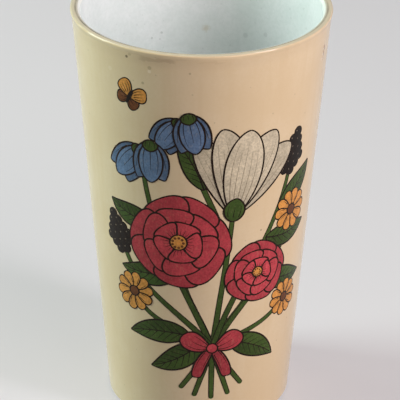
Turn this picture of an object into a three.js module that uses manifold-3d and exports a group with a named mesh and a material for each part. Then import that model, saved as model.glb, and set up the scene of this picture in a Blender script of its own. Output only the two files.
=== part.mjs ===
// A tall tapered ceramic beaker: one fired clay body, the glaze coats fused to it, and an enamel print of a tied posy.
// Millimetres, +Z up. The origin is on the ground under the beaker's middle, and the print faces -Y.
import * as THREE from "three";
import { mergeVertices } from "three/addons/utils/BufferGeometryUtils.js";
import Module from "manifold-3d";

const wasm = await Module();
wasm.setup();

// Driving sizes of the beaker, measured on its glazed surfaces
const height = 120;
const rimRadius = 36.2; // outside, where the straight wall would reach the top, without the rim's roll
const baseRadius = 26.5; // outside, where it would reach the ground
const rimWall = 2.4;
const floorWall = 3.2; // the wall is thicker at the inner floor than at the rim
const floorThickness = 4.5; // from the ground to the inner floor
const floorCornerRadius = 6; // hollow curve between the inner floor and the wall
const rimOuterRound = 0.45;
const rimInnerRound = 1.2;
const rimRoll = 0.2; // how far the rolled rim stands out from the straight wall
const rollHeight = 1.4; // the wall swells out to it over this height

// Foot and coats
const footDepth = 1.6; // how far the underside is recessed
const footWidth = 3.5;
const footRound = 0.6;
const footCornerRadius = 1; // hollow curve between the recess and the foot
const glazeLine = 0.8; // the outer coat stops this far above the ground, and the foot below it is bare clay
const glazeThickness = 0.3;
const bondGap = 0.03; // room between a coat and the clay that carries it
const coatJoint = 0.3; // groove along the rim between the outer coat and the lining

// The print: films of enamel laid on the outer coat, one pass over another
const printFoot = 9; // lowest stem end above the ground
const printRimMargin = 9.4; // clear wall between the print and the rim
const printTurn = 7.5; // degrees from straight ahead to the posy's knot
const filmGap = 0.05; // room under each film
const filmThickness = 0.04;

// How finely round shapes are cut
const facets = 48; // around the beaker
const arcSteps = 3; // along each rounding of the profile
const stripWidth = 3; // a film bends round the wall at every strip
const stripClearance = 0.02; // from a cut between strips to the nearest corner of the film
const bladeSteps = 6; // along each petal and leaf
const stemSteps = 5;
const weldTolerance = 1e-3;
const shortestEdge = 0.01; // corners of a film's outline that crowd closer than this are thinned out

const radians = THREE.MathUtils.degToRad;

// The beaker's section
const outerSlope = Math.atan2(rimRadius - baseRadius, height);
const wallRadius = (z, inset = 0) => baseRadius + z * Math.tan(outerSlope) - inset / Math.cos(outerSlope);
const liningTop = rimRadius - rimWall;
const liningFoot = wallRadius(floorThickness) - floorWall;
const innerSlope = Math.atan2(liningTop - liningFoot, height - floorThickness);
const liningRadius = (z, inset = 0) =>
  liningFoot + (z - floorThickness) * Math.tan(innerSlope) + inset / Math.cos(innerSlope);
const recessRadius = baseRadius - footWidth;
const clayInset = glazeThickness + bondGap;

const arc = (x, y, radius, from, to) =>
  Array.from({ length: arcSteps + 1 }, (_, step) => {
    const angle = from + ((to - from) * step) / arcSteps;
    return new THREE.Vector2(x + radius * Math.cos(angle), y + radius * Math.sin(angle));
  });

// The roundings, each for a surface that lies inset below the glaze's own face. Below the outer one, the wall swells
// out to the rim's roll by the cubic s^2 (3 - 2 s) of the share s of the way up, so that it starts and ends along
// the wall.
function rimOuterArc(inset) {
  const z = height - rimOuterRound;
  const swell = Array.from({ length: arcSteps }, (_, step) => {
    const share = step / arcSteps;
    const level = z - rollHeight * (1 - share);
    return new THREE.Vector2(wallRadius(level, inset) + rimRoll * share ** 2 * (3 - 2 * share), level);
  });
  const centre = wallRadius(z, rimOuterRound) + rimRoll;
  return [...swell, ...arc(centre, z, rimOuterRound - inset, -outerSlope, Math.PI / 2)];
}

function rimInnerArc(inset, from = Math.PI / 2) {
  const z = height - rimInnerRound;
  return arc(liningRadius(z, rimInnerRound), z, rimInnerRound - inset, from, Math.PI - innerSlope);
}

function floorArc(inset) {
  const z = floorThickness + floorCornerRadius;
  return arc(liningRadius(z, -floorCornerRadius), z, floorCornerRadius + inset, -innerSlope, -Math.PI / 2);
}

function recessArc(inset) {
  const centre = recessRadius - footCornerRadius;
  return arc(centre, footDepth - footCornerRadius, footCornerRadius + inset, Math.PI / 2, 0);
}

function turned(profile) {
  const geometry = new THREE.LatheGeometry(profile, facets);
  geometry.rotateX(Math.PI / 2);
  return geometry;
}

function clayBody() {
  const innerFoot = recessRadius + clayInset + footRound;
  const outerFoot = wallRadius(footRound, clayInset + footRound);
  return turned([
    new THREE.Vector2(0, footDepth + clayInset),
    ...recessArc(clayInset),
    ...arc(innerFoot, footRound, footRound, Math.PI, 1.5 * Math.PI),
    ...arc(outerFoot, footRound, footRound, -Math.PI / 2, -outerSlope),
    ...rimOuterArc(clayInset),
    ...rimInnerArc(clayInset),
    ...floorArc(clayInset),
    new THREE.Vector2(0, floorThickness - clayInset),
  ]);
}

// The ivory coat covers the wall and the rim, and ends square on the foot and at the rim's inner edge.
function outerGlaze() {
  const jointRadius = liningRadius(height - rimInnerRound, rimInnerRound);
  const foot = new THREE.Vector2(wallRadius(glazeLine), glazeLine);
  return turned([
    foot,
    ...rimOuterArc(0),
    new THREE.Vector2(jointRadius, height),
    new THREE.Vector2(jointRadius, height - glazeThickness),
    ...rimOuterArc(glazeThickness).reverse(),
    new THREE.Vector2(wallRadius(glazeLine, glazeThickness), glazeLine),
    foot,
  ]);
}

// The white lining starts past the groove at the rim's inner edge and runs down over the inner floor.
function innerGlaze() {
  const start = Math.PI / 2 + coatJoint / rimInnerRound;
  return turned([
    new THREE.Vector2(0, floorThickness - glazeThickness),
    ...floorArc(glazeThickness).reverse(),
    ...rimInnerArc(glazeThickness, start).reverse(),
    ...rimInnerArc(0, start),
    ...floorArc(0),
    new THREE.Vector2(0, floorThickness),
  ]);
}

function baseGlaze() {
  return turned([
    new THREE.Vector2(0, footDepth),
    ...recessArc(0),
    ...recessArc(glazeThickness).reverse(),
    new THREE.Vector2(0, footDepth + glazeThickness),
  ]);
}

// Flat outlines for the print. They are lists of points in millimetres on the drawing, whose x runs round the wall from
// the knot, to the right, and whose y runs up it from the lowest stem end.

// A blade is a petal or leaf. It grows from its root along a heading that turns steadily by bend, and its half width at
// a share u of its length goes as u^rise (1 - u)^fall. The steps crowd towards both ends, where the outline turns most.
function blade(root, heading, length, width, { bend = 0, rise = 0.8, fall = 0.6 } = {}) {
  const fullest = rise / (rise + fall);
  const peak = fullest ** rise * (1 - fullest) ** fall;
  const sides = [[], []];
  for (let step = 0; step <= bladeSteps; step += 1) {
    const along = (1 - Math.cos((Math.PI * step) / bladeSteps)) / 2;
    const halfTurn = radians((bend * along) / 2);
    const chord = length * along * (halfTurn === 0 ? 1 : Math.sin(halfTurn) / halfTurn);
    const middle = radians(heading - bend / 2) + halfTurn;
    const across = middle + halfTurn + Math.PI / 2;
    const reach = ((width / 2) * along ** rise * (1 - along) ** fall) / peak;
    [-reach, reach].forEach((offset, side) => {
      sides[side].push(
        new THREE.Vector2(
          root.x + chord * Math.cos(middle) + offset * Math.cos(across),
          root.y + chord * Math.sin(middle) + offset * Math.sin(across),
        ),
      );
    });
  }
  return [...sides[0], ...sides[1].slice(1, -1).reverse()];
}

function disc(centre, radius, corners = 10) {
  return Array.from({ length: corners }, (_, corner) => around(centre, radius, (360 * corner) / corners));
}

function around(centre, distance, degrees) {
  const angle = radians(degrees);
  return new THREE.Vector2(centre.x + distance * Math.cos(angle), centre.y + distance * Math.sin(angle));
}

// A stem is a ribbon along a curve, narrowing from its first width to its last.
function ribbon(curve, firstWidth, lastWidth) {
  const sides = [[], []];
  for (let step = 0; step <= stemSteps; step += 1) {
    const along = step / stemSteps;
    const point = curve.getPoint(along);
    const tangent = curve.getTangent(along);
    const reach = THREE.MathUtils.lerp(firstWidth, lastWidth, along) / 2;
    [reach, -reach].forEach((offset, side) => {
      sides[side].push(new THREE.Vector2(point.x - offset * tangent.y, point.y + offset * tangent.x));
    });
  }
  return [...sides[1], ...sides[0].reverse()];
}

// The posy's layout on the drawing
const at = (x, y) => new THREE.Vector2(x, y);
const knot = at(0, 18);
const stemCurve = (start, ...rest) => new THREE.CubicBezierCurve(start, ...rest.map(([x, y]) => at(x, y)));
const lilyStem = stemCurve(knot, [2, 36], [4, 49], [5, 62]);
const stems = {
  largeRose: stemCurve(knot, [-4, 31], [-10, 37], [-10, 51]),
  lily: lilyStem,
  smallRose: stemCurve(knot, [4, 29], [10, 31], [13, 41]),
  leftBells: stemCurve(knot, [-6, 35], [-20, 57], [-21, 80]),
  topBells: stemCurve(lilyStem.getPoint(0.7), [0, 66], [-7, 74], [-9, 90]),
  rightMarigold: stemCurve(knot, [8, 35], [21, 41], [24, 55]),
  leftMarigold: stemCurve(knot, [-8, 25], [-18, 25], [-23, 33]),
  lowMarigold: stemCurve(knot, [8, 23], [16, 23], [22, 28]),
  rightBerries: stemCurve(knot, [6, 41], [19, 53], [23, 71]),
  leftBerries: stemCurve(knot, [-8, 31], [-24, 37], [-27, 48]),
};
const stemWidths = [1.4, 1];

// Cut stem ends below the knot: how far each reaches to the right and down
const stemEnds = [
  [-9, 14],
  [-5, 16.5],
  [0, 17.5],
  [5, 16.5],
  [9, 13.5],
];

// Leaves: the stem, how far along it the leaf grows, heading, length, width, bend
const leaves = [
  ["largeRose", 0.8, 186, 19, 7.5, -30],
  ["leftBells", 0.68, 166, 16, 7, -40],
  ["topBells", 0.5, 118, 17, 6.5, 25],
  ["rightBerries", 0.8, 38, 17, 7, 30],
  ["rightBerries", 0.62, 0, 17, 7, 35],
  ["rightMarigold", 0.55, -14, 17, 7, 25],
  ["lowMarigold", 0.18, -30, 18, 7.5, -30],
  ["leftMarigold", 0.12, 214, 18, 7.5, -30],
  ["leftMarigold", 0.25, 186, 19, 7.5, 35],
];

function foliage() {
  const ends = stemEnds.map(([right, down]) =>
    ribbon(new THREE.LineCurve(knot, at(knot.x + right, knot.y - down)), ...stemWidths),
  );
  const grown = leaves.map(([stem, along, heading, length, width, bend]) =>
    blade(stems[stem].getPoint(along), heading, length, width, { bend, rise: 0.75, fall: 1 }),
  );
  return [...Object.values(stems).map((curve) => ribbon(curve, ...stemWidths)), ...ends, ...grown];
}

// Petals stand round a centre in one ring.
function petalRing(centre, count, firstHeading, start, length, width, swell) {
  return Array.from({ length: count }, (_, petal) => {
    const heading = firstHeading + (360 * petal) / count;
    return blade(around(centre, start, heading), heading, length, width, swell);
  });
}

function rosePetals(centre, radius, firstHeading) {
  const open = petalRing(centre, 7, firstHeading, 0.12 * radius, 0.9 * radius, 0.98 * radius, { rise: 1.1, fall: 0.45 });
  return [...open, disc(centre, 0.6 * radius)];
}

function marigoldPetals(centre, radius, firstHeading) {
  const open = petalRing(centre, 10, firstHeading, 0.15 * radius, 0.86 * radius, 0.5 * radius, { fall: 0.4 });
  return [...open, disc(centre, 0.3 * radius)];
}

// A bellflower hangs from its calyx along its heading, as a middle petal between two that curl outwards.
function bellPetals(top, length, width, heading) {
  const sides = [1, -1].map((side) =>
    blade(around(top, 0.1 * width, heading + 90 * side), heading + 15 * side, length, 0.62 * width, {
      bend: 26 * side,
      rise: 0.62,
      fall: 0.75,
    }),
  );
  return [...sides, blade(top, heading, 1.04 * length, 0.66 * width, { rise: 0.6, fall: 0.62 })];
}

// A lily opens upwards from its calyx as a fan of five petals.
function lilyPetals(base, length, width, heading) {
  const fan = [
    [34, 34, 0.96, 0.5],
    [17, 20, 1, 0.52],
    [0, 4, 0.96, 0.56],
    [-17, -20, 1, 0.52],
    [-34, -34, 0.96, 0.5],
  ];
  return fan.map(([lean, bend, share, spread]) =>
    blade(base, heading + lean, share * length, spread * width, { bend, rise: 0.8, fall: 0.6 }),
  );
}

// A calyx is the small cup of green that covers the place where a flower meets its stem.
function calyx(centre, heading, length, width) {
  return [blade(around(centre, 0.2 * length, heading + 180), heading, length, width, { rise: 0.6, fall: 0.65 })];
}

// Berries lie in rows across a short spike, most in the middle row.
function berryCluster(centre, radius, heading) {
  const rows = [2, 3, 4, 3, 2, 1];
  const rowPitch = 0.41 * radius;
  return rows.flatMap((count, row) =>
    Array.from({ length: count }, (_, berry) => {
      const middle = around(centre, (row - 2) * rowPitch, heading);
      return disc(around(middle, (berry - (count - 1) / 2) * 0.44 * radius, heading + 90), 0.3 * radius, 7);
    }),
  );
}

// A bow's two loops and two tails meet under its knot.
function bowLoops(centre, size) {
  const pairs = [1, -1].flatMap((side) => [
    blade(centre, 90 - 62 * side, size, 0.66 * size, { bend: 30 * side, rise: 0.9, fall: 0.45 }),
    blade(centre, -90 + 24 * side, 1.15 * size, 0.36 * size, { bend: -30 * side, rise: 0.35, fall: 0.2 }),
  ]);
  return [...pairs, disc(centre, 0.14 * size)];
}

// A butterfly's two pairs of wings meet under its body.
function butterflyWings(centre, size, heading) {
  const pairs = [1, -1].flatMap((side) => [
    blade(centre, heading - 52 * side, size, 0.8 * size, { bend: -20 * side, rise: 0.9, fall: 0.4 }),
    blade(centre, heading - 118 * side, 0.72 * size, 0.66 * size, { bend: 10 * side, fall: 0.45 }),
  ]);
  return [...pairs, disc(centre, 0.09 * size)];
}

// Laying the print on the wall
const printHeight = height - printFoot - printRimMargin;
const middleRadius = wallRadius(height / 2);
const filmPitch = filmGap + filmThickness;
const beyond = 2 * (height + rimRadius); // farther than any film reaches

// A drawn point goes to its height on the wall and to its angle round it, times the wall's middle radius.
function place(point, scale) {
  const z = printFoot + point.y * scale;
  return new THREE.Vector2((point.x * scale * middleRadius) / wallRadius(z), z);
}

function toSolid(geometry) {
  const bare = geometry.clone();
  bare.deleteAttribute("normal");
  bare.deleteAttribute("uv");
  const merged = mergeVertices(bare, weldTolerance);
  const mesh = new wasm.Mesh({
    numProp: 3,
    vertProperties: Float32Array.from(merged.attributes.position.array),
    triVerts: Uint32Array.from(merged.index.array),
  });
  return new wasm.Manifold(mesh);
}

function slab(outline, scale) {
  const shape = new THREE.Shape(outline.map((point) => place(point, scale)));
  return toSolid(new THREE.ExtrudeGeometry(shape, { depth: filmThickness, bevelEnabled: false }));
}

// Places for the cuts between strips, each moved on a little where it would pass through a corner of the film.
function findCuts(corners) {
  const across = corners.map((corner) => corner.x);
  const [first, last] = [Math.min(...across), Math.max(...across)];
  const strips = Math.ceil((last - first) / stripWidth);
  return Array.from({ length: strips - 1 }, (_, strip) => {
    let cut = first + ((last - first) * (strip + 1)) / strips;
    while (across.some((x) => Math.abs(x - cut) < stripClearance)) cut += stripClearance;
    return cut;
  });
}

function cornersOf(solid) {
  const { vertProperties, triVerts } = solid.getMesh();
  return Array.from(triVerts, (corner) => new THREE.Vector3().fromArray(vertProperties, 3 * corner));
}

const isNear = (a, b) => Math.abs(a - b) < weldTolerance;

// Corners that lie together become one and the same corner, and triangles that lose a side by it go.
function weld(triangles) {
  const kept = [];
  const firstOf = (corner) => {
    const twin = kept.find((other) => other.distanceTo(corner) < weldTolerance);
    if (!twin) kept.push(corner);
    return twin ?? corner;
  };
  return triangles.map((triangle) => triangle.map(firstOf)).filter((triangle) => new Set(triangle).size === 3);
}

// Where a corner of one strip lies along its neighbour's edge, on the cut between them, the neighbour's triangle is
// split at that corner.
function splitWhereMet(triangle, cutCorners) {
  for (let side = 0; side < 3; side += 1) {
    const [from, to, apex] = [0, 1, 2].map((corner) => triangle[(side + corner) % 3]);
    const [low, high] = [Math.min(from.y, to.y), Math.max(from.y, to.y)];
    const met = cutCorners.find(
      ({ x, y, z }) =>
        isNear(x, from.x) && isNear(x, to.x) && isNear(z, from.z) && isNear(z, to.z) &&
        Math.min(y - low, high - y) > weldTolerance,
    );
    if (met) return [[from, met, apex], [met, to, apex]].flatMap((half) => splitWhereMet(half, cutCorners));
  }
  return [triangle];
}

// The flat film is cut into upright strips, so that it has an edge at each place where it bends. The faces on the cuts
// are dropped, which leaves one closed skin once the strips' corners are merged.
function cutIntoStrips(solid) {
  const cuts = findCuts(cornersOf(solid));
  const bounds = [-beyond, ...cuts, beyond];
  const skin = [];
  for (let strip = 0; strip <= cuts.length; strip += 1) {
    const [low, high] = bounds.slice(strip, strip + 2);
    const cutter = new THREE.BoxGeometry(high - low, 2 * beyond, beyond);
    cutter.translate((low + high) / 2, 0, beyond / 2 - filmGap);
    const corners = cornersOf(solid.intersect(toSolid(cutter)));
    for (let first = 0; first < corners.length; first += 3) {
      const triangle = corners.slice(first, first + 3);
      if (![low, high].some((cut) => triangle.every(({ x }) => isNear(x, cut)))) skin.push(triangle);
    }
  }
  const cutCorners = skin.flat().filter(({ x }) => cuts.some((cut) => isNear(x, cut)));
  const closed = weld(skin.flatMap((triangle) => splitWhereMet(triangle, cutCorners)));
  return mergeVertices(new THREE.BufferGeometry().setFromPoints(closed.flat()));
}

// Bends a flat film round the wall, at the height of its pass.
function wrap(flat, pass) {
  const positions = flat.attributes.position;
  const corner = new THREE.Vector3();
  for (let index = 0; index < positions.count; index += 1) {
    corner.fromBufferAttribute(positions, index);
    const angle = radians(printTurn) + corner.x / middleRadius;
    const radius = wallRadius(corner.y) + filmGap + pass * filmPitch + corner.z;
    positions.setXYZ(index, radius * Math.sin(angle), -radius * Math.cos(angle), corner.y);
  }
  const wrapped = flat.toNonIndexed();
  wrapped.computeVertexNormals();
  return wrapped;
}

function film(outlines, pass, scale) {
  const solid = outlines.map((outline) => slab(outline, scale)).reduce((joined, piece) => joined.add(piece));
  return wrap(cutIntoStrips(solid.simplify(shortestEdge)), pass);
}

// Finishes
const finish = (color, roughness) => new THREE.MeshStandardMaterial({ color, roughness, metalness: 0 });
const biscuit = finish(0xd9cdb8, 0.9);
const ivory = finish(0xe1c9a5, 0.18);
const white = finish(0xe2e5e6, 0.15);
const leafGreen = finish(0x405430, 0.3);
const crimson = finish(0xa5424c, 0.3);
const gold = finish(0xd6964c, 0.3);
const brown = finish(0x704428, 0.3);
const blue = finish(0x5c708e, 0.3);
const cream = finish(0xc4b69c, 0.3);
const blackBrown = finish(0x2c201a, 0.3);

const beaker = new THREE.Group();
function add(name, geometry, material) {
  const mesh = new THREE.Mesh(geometry, material);
  mesh.name = name;
  beaker.add(mesh);
}

add("clay_body", clayBody(), biscuit);
add("outer_glaze", outerGlaze(), ivory);
add("inner_glaze", innerGlaze(), white);
add("base_glaze", baseGlaze(), ivory);

// The print's films, which are drawn first, so that the whole drawing can be fitted to the wall
const films = [];
const draw = (name, outlines, pass, material) => films.push({ name, outlines, pass, material });

draw("print_foliage", foliage(), 0, leafGreen);

const roses = { large: [at(-10, 53), 14.2, 10], small: [at(13, 41.5), 9.6, 20] };
for (const [size, [centre, radius, firstHeading]] of Object.entries(roses)) {
  draw(`print_rose_${size}`, rosePetals(centre, radius, firstHeading), 1, crimson);
  draw(`print_rose_${size}_heart`, [disc(centre, 0.17 * radius)], 2, gold);
}

const lilyBase = at(5, 61);
draw("print_lily", lilyPetals(lilyBase, 28, 20, 80), 2, cream);
draw("print_lily_calyx", calyx(lilyBase, 80, 7.3, 6), 3, leafGreen);

const bells = {
  left_back: [at(-21.5, 81), 12, 11, -128, 1],
  left_front: [at(-18.5, 83.5), 12, 11, -88, 3],
  top_back: [at(-10, 91), 10.5, 10, -125, 1],
  top_front: [at(-8, 93), 11.5, 10.5, -78, 3],
};
for (const [side, [top, length, width, heading, pass]] of Object.entries(bells)) {
  draw(`print_bell_${side}`, bellPetals(top, length, width, heading), pass, blue);
  draw(`print_bell_${side}_calyx`, calyx(top, heading, 0.3 * length, 0.42 * width), pass + 1, leafGreen);
}

const marigolds = { right: [at(25, 58), 6.4, 0], left: [at(-23.5, 34), 6.2, 12], low: [at(24, 29), 5.8, 5] };
for (const [side, [centre, radius, firstHeading]] of Object.entries(marigolds)) {
  draw(`print_marigold_${side}`, marigoldPetals(centre, radius, firstHeading), 1, gold);
  draw(`print_marigold_${side}_heart`, [disc(centre, 0.26 * radius)], 2, brown);
}

draw("print_berries_right", berryCluster(at(24, 76), 5.6, 70), 1, blackBrown);
draw("print_berries_left", berryCluster(at(-29, 51), 5.4, 112), 1, blackBrown);

draw("print_bow", bowLoops(knot, 9.5), 1, crimson);
draw("print_bow_knot", [disc(knot, 1.6)], 2, crimson);

const butterfly = at(-25, 96);
const butterflyHeading = 65;
draw("print_butterfly", butterflyWings(butterfly, 5.6, butterflyHeading), 0, gold);
const butterflyTail = around(butterfly, 2.1, butterflyHeading + 180);
draw("print_butterfly_body", [blade(butterflyTail, butterflyHeading, 4.8, 1.1)], 1, blackBrown);

const drawnTop = Math.max(...films.flatMap(({ outlines }) => outlines.flat()).map(({ y }) => y));
for (const { name, outlines, pass, material } of films) {
  add(name, film(outlines, pass, printHeight / drawnTop), material);
}

export default beaker;
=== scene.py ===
"""A tall tapered ceramic beaker with a printed posy, finished around its construction model.

Lengths are in millimetres and become metres where a mesh is made. +Z is up, and the print faces -Y.
"""

import math
from collections import namedtuple
from functools import reduce

import bpy
import numpy as np
from mathutils import Matrix, Vector


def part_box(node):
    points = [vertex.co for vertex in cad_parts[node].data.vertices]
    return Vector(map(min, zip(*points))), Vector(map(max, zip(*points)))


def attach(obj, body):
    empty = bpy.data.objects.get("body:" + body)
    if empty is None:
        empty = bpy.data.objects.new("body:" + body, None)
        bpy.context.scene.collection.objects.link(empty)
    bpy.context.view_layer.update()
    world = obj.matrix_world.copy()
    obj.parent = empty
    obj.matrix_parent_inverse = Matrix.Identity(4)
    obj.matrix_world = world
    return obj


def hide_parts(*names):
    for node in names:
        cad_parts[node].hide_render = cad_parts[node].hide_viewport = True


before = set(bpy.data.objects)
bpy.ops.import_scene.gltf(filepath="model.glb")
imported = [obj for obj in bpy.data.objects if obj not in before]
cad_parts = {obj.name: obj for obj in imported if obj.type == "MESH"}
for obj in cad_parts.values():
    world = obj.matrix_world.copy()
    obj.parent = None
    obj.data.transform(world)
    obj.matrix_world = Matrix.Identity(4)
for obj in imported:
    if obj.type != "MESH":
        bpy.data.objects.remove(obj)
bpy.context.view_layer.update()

# Sizes of the beaker, as its construction has them
millimetre = 0.001
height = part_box("outer_glaze")[1].z / millimetre
glaze_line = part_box("outer_glaze")[0].z / millimetre
rim_radius = 36.2
base_radius = 26.5
rim_wall = 2.4
floor_wall = 3.2
floor_thickness = 4.5
floor_corner_radius = 6
rim_outer_round = 0.45
rim_inner_round = 1.2
rim_roll = 0.2
roll_height = 1.4
foot_depth = 1.6
foot_width = 3.5
foot_round = 0.6
foot_corner_radius = 1
glaze_thickness = 0.3
bond_gap = 0.03
coat_joint = 0.12

# Where the print lies on the wall, and how tall its drawing is from edge to edge
print_foot = 9
print_rim_margin = 9.4
print_turn = math.radians(7.5)
drawn_height = 101.59
print_scale = (height - print_foot - print_rim_margin) / drawn_height

# How finely shapes are cut: parts of a round, gaps in millimetres, and points of a drawn path
sides_round = 384
arc_steps = 14
edge_arc_steps = 4
wall_ring_gap = 2
tangent_ring_gap = 0.1
film_cell = 0.4
line_cell = 0.35
line_points_across = 5
stem_points = 120
rib_points = 60
vein_points = 40
branch_points = 12

# Points that agree to so many decimals of a metre become one, and edges past the angle stay sharp
weld_digits = 10
sharp_angle = math.radians(30)

# The camera, as the photograph's outline gives it: pixels, millimetres, and its elevation in
# degrees and its roll in radians
photo_width = 400
focal_pixels = 2397
sensor_width = 36
view_elevation = 26.51
view_roll = 0.0081
view_distance = 689.8
view_centre_height = 59.7

Skin = namedtuple("Skin", "points triangles uv tone finish")


def linear(*levels):
    """Colour levels of 0 to 255, as a screen shows them, made linear by the sRGB curve."""
    share = np.array(levels) / 255
    straight = np.where(share <= 0.04045, share / 12.92, ((share + 0.055) / 1.055) ** 2.4)
    return (*straight.tolist(), 1.0)


# Meshes


def add_object(name, data):
    """A new object in the scene, which stays at the origin until it is placed."""
    made = bpy.data.objects.new(name, data)
    bpy.context.scene.collection.objects.link(made)
    return made


def closed_skin(rings, uv, tone=1.0, finish=0):
    """A grid of points, rings by places round them, as triangles. Points that fall together become
    one, which closes seams and poles, and triangles without area go. The sign of the volume inside
    tells which way the faces turn."""
    ring_count, round_count = rings.shape[:2]
    points, first, index = np.unique(
        rings.reshape(-1, 3).round(weld_digits), axis=0, return_index=True, return_inverse=True
    )
    index = index.reshape(ring_count, round_count)
    corners = [index[:-1, :-1], index[1:, :-1], index[1:, 1:], index[:-1, 1:]]
    a, b, c, d = (corner.ravel() for corner in corners)
    triangles = np.concatenate([np.stack([a, b, c], axis=1), np.stack([a, c, d], axis=1)])
    has_area = (np.diff(triangles[:, [0, 1, 2, 0]], axis=1) != 0).all(axis=1)
    triangles = triangles[has_area]
    p, q, r = points[triangles].transpose(1, 0, 2)
    if np.einsum("ij,ij->i", p, np.cross(q, r)).sum() < 0:
        triangles = triangles[:, ::-1]
    return Skin(points, triangles, uv.reshape(-1, 2)[first], tone, finish)


def make_piece(name, skins, finishes, node_name):
    """One object from closed skins. It stands for the given node, and keeps each skin's UV, tone and
    finish."""
    starts = np.cumsum([0] + [len(skin.points) for skin in skins[:-1]])
    triangles = np.concatenate([skin.triangles + start for skin, start in zip(skins, starts)])
    mesh = bpy.data.meshes.new(name)
    mesh.from_pydata(np.concatenate([skin.points for skin in skins]).tolist(), [], triangles.tolist())
    uv = np.concatenate([skin.uv for skin in skins])[triangles.ravel()]
    mesh.uv_layers.new(name="surface").data.foreach_set("uv", uv.ravel())
    tone = np.concatenate([np.full(len(skin.points), skin.tone) for skin in skins])
    mesh.attributes.new("tone", "FLOAT", "POINT").data.foreach_set("value", tone)
    for finish in finishes:
        mesh.materials.append(finish)
    finish_index = np.concatenate([np.full(len(skin.triangles), skin.finish) for skin in skins])
    mesh.polygons.foreach_set("material_index", finish_index)
    mesh.shade_smooth()
    mesh.set_sharp_from_angle(angle=sharp_angle)
    piece = add_object(name, mesh)
    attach(piece, "root")
    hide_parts(node_name)


# The beaker's section, in distance from the axis and height above the ground

outer_slope = math.atan2(rim_radius - base_radius, height)
recess_radius = base_radius - foot_width
clay_inset = glaze_thickness + bond_gap


def wall_radius(z, inset=0.0):
    """The distance from the axis of the wall's face, or of a face that lies inset behind it. It grows
    from the foot by the height times the tangent of the slope."""
    return base_radius + z * math.tan(outer_slope) - inset / math.cos(outer_slope)


lining_top = rim_radius - rim_wall
lining_foot = wall_radius(floor_thickness) - floor_wall
inner_slope = math.atan2(lining_top - lining_foot, height - floor_thickness)


def lining_radius(z, inset=0.0):
    """The same for the lining. Its inset goes outwards, into the clay."""
    return lining_foot + (z - floor_thickness) * math.tan(inner_slope) + inset / math.cos(inner_slope)


# Where the ivory coat and the white lining meet on the rim
joint_radius = lining_radius(height - rim_inner_round, rim_inner_round)


def arc(x, y, radius, start, end, steps=arc_steps):
    """Points along an arc: the centre plus radius times the cosine and sine of an angle that runs
    from start to end."""
    angle = np.linspace(start, end, steps + 1)
    return np.stack([x + radius * np.cos(angle), y + radius * np.sin(angle)], axis=1)


def rim_outer_arc(inset):
    """The rim's outer rounding. Below it, the wall swells out to the rim's roll by the cubic
    s^2 (3 - 2 s) of the share s of the way up, so that it starts and ends along the wall."""
    z = height - rim_outer_round
    share = np.linspace(0, 1, arc_steps, endpoint=False)
    level = z - roll_height * (1 - share)
    swell = np.stack([wall_radius(level, inset) + rim_roll * share**2 * (3 - 2 * share), level], axis=1)
    centre = wall_radius(z, rim_outer_round) + rim_roll
    return np.concatenate([swell, arc(centre, z, rim_outer_round - inset, -outer_slope, math.pi / 2)])


def rim_inner_arc(inset, start=math.pi / 2):
    """The rim's inner rounding, from its top, or another start, down to the lining."""
    z = height - rim_inner_round
    centre = lining_radius(z, rim_inner_round)
    return arc(centre, z, rim_inner_round - inset, start, math.pi - inner_slope)


def floor_arc(inset):
    """The hollow rounding between the lining and the inner floor, from the lining down."""
    z = floor_thickness + floor_corner_radius
    centre = lining_radius(z, -floor_corner_radius)
    return arc(centre, z, floor_corner_radius + inset, -inner_slope, -math.pi / 2)


def recess_arc(inset):
    """The rounding under the foot between the recess's ceiling and its side, from the ceiling."""
    centre = recess_radius - foot_corner_radius
    return arc(centre, foot_depth - foot_corner_radius, foot_corner_radius + inset, math.pi / 2, 0)


def coat_edge(outer, inner, turn):
    """The rounded edge of a coat: a half circle from its outer face to its inner one. It runs
    against the clock where turn is 1, and with it where turn is -1."""
    middle = (np.array(outer) + inner) / 2
    radius = np.linalg.norm(np.array(outer) - inner) / 2
    first = math.atan2(*(np.array(outer) - middle)[::-1])
    return arc(*middle, radius, first, first + turn * math.pi, edge_arc_steps * 2)


def with_rings(profile):
    """The profile with rings added on its long straight stretches: even ones, and one close to each
    end, so that the smooth shading of a rounding doesn't spread over the wall beside it."""
    stretches = [profile[:1]]
    for start, end in zip(profile[:-1], profile[1:]):
        length = np.linalg.norm(end - start)
        if length > wall_ring_gap:
            even = np.linspace(0, 1, math.ceil(length / wall_ring_gap) + 1)[1:-1]
            close = tangent_ring_gap / length
            shares = np.concatenate([[close], even, [1 - close]])
            stretches.append(start + (end - start) * shares[:, None])
        stretches.append(end[None])
    return np.concatenate(stretches)


def turned(*parts):
    """The skin of a profile turned round the axis: each of its points (r, z) goes to
    (r cos t, r sin t, z)."""
    profile = with_rings(np.concatenate([np.atleast_2d(part) for part in parts]))
    turn = np.linspace(0, 2 * math.pi, sides_round + 1)
    # The last place round is the first again, so that the seam closes
    turn[-1] = 0
    radius, z = profile[:, None, 0], profile[:, None, 1]
    rings = np.stack([radius * np.cos(turn), radius * np.sin(turn), z + 0 * turn], axis=2)
    along = np.linspace(0, 1, len(profile))
    uv = np.stack(np.broadcast_arrays(np.linspace(0, 1, sides_round + 1), along[:, None]), axis=2)
    return closed_skin(rings * millimetre, uv)


def clay_skin():
    """The clay body: its recess, foot ring, wall, rim, lining side and floor, one after another."""
    inner_foot = recess_radius + clay_inset + foot_round
    outer_foot = wall_radius(foot_round, clay_inset + foot_round)
    return turned(
        (0, foot_depth + clay_inset),
        recess_arc(clay_inset),
        arc(inner_foot, foot_round, foot_round, math.pi, 1.5 * math.pi),
        arc(outer_foot, foot_round, foot_round, -math.pi / 2, -outer_slope),
        rim_outer_arc(clay_inset),
        rim_inner_arc(clay_inset),
        floor_arc(clay_inset),
        (0, floor_thickness - clay_inset),
    )


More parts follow.
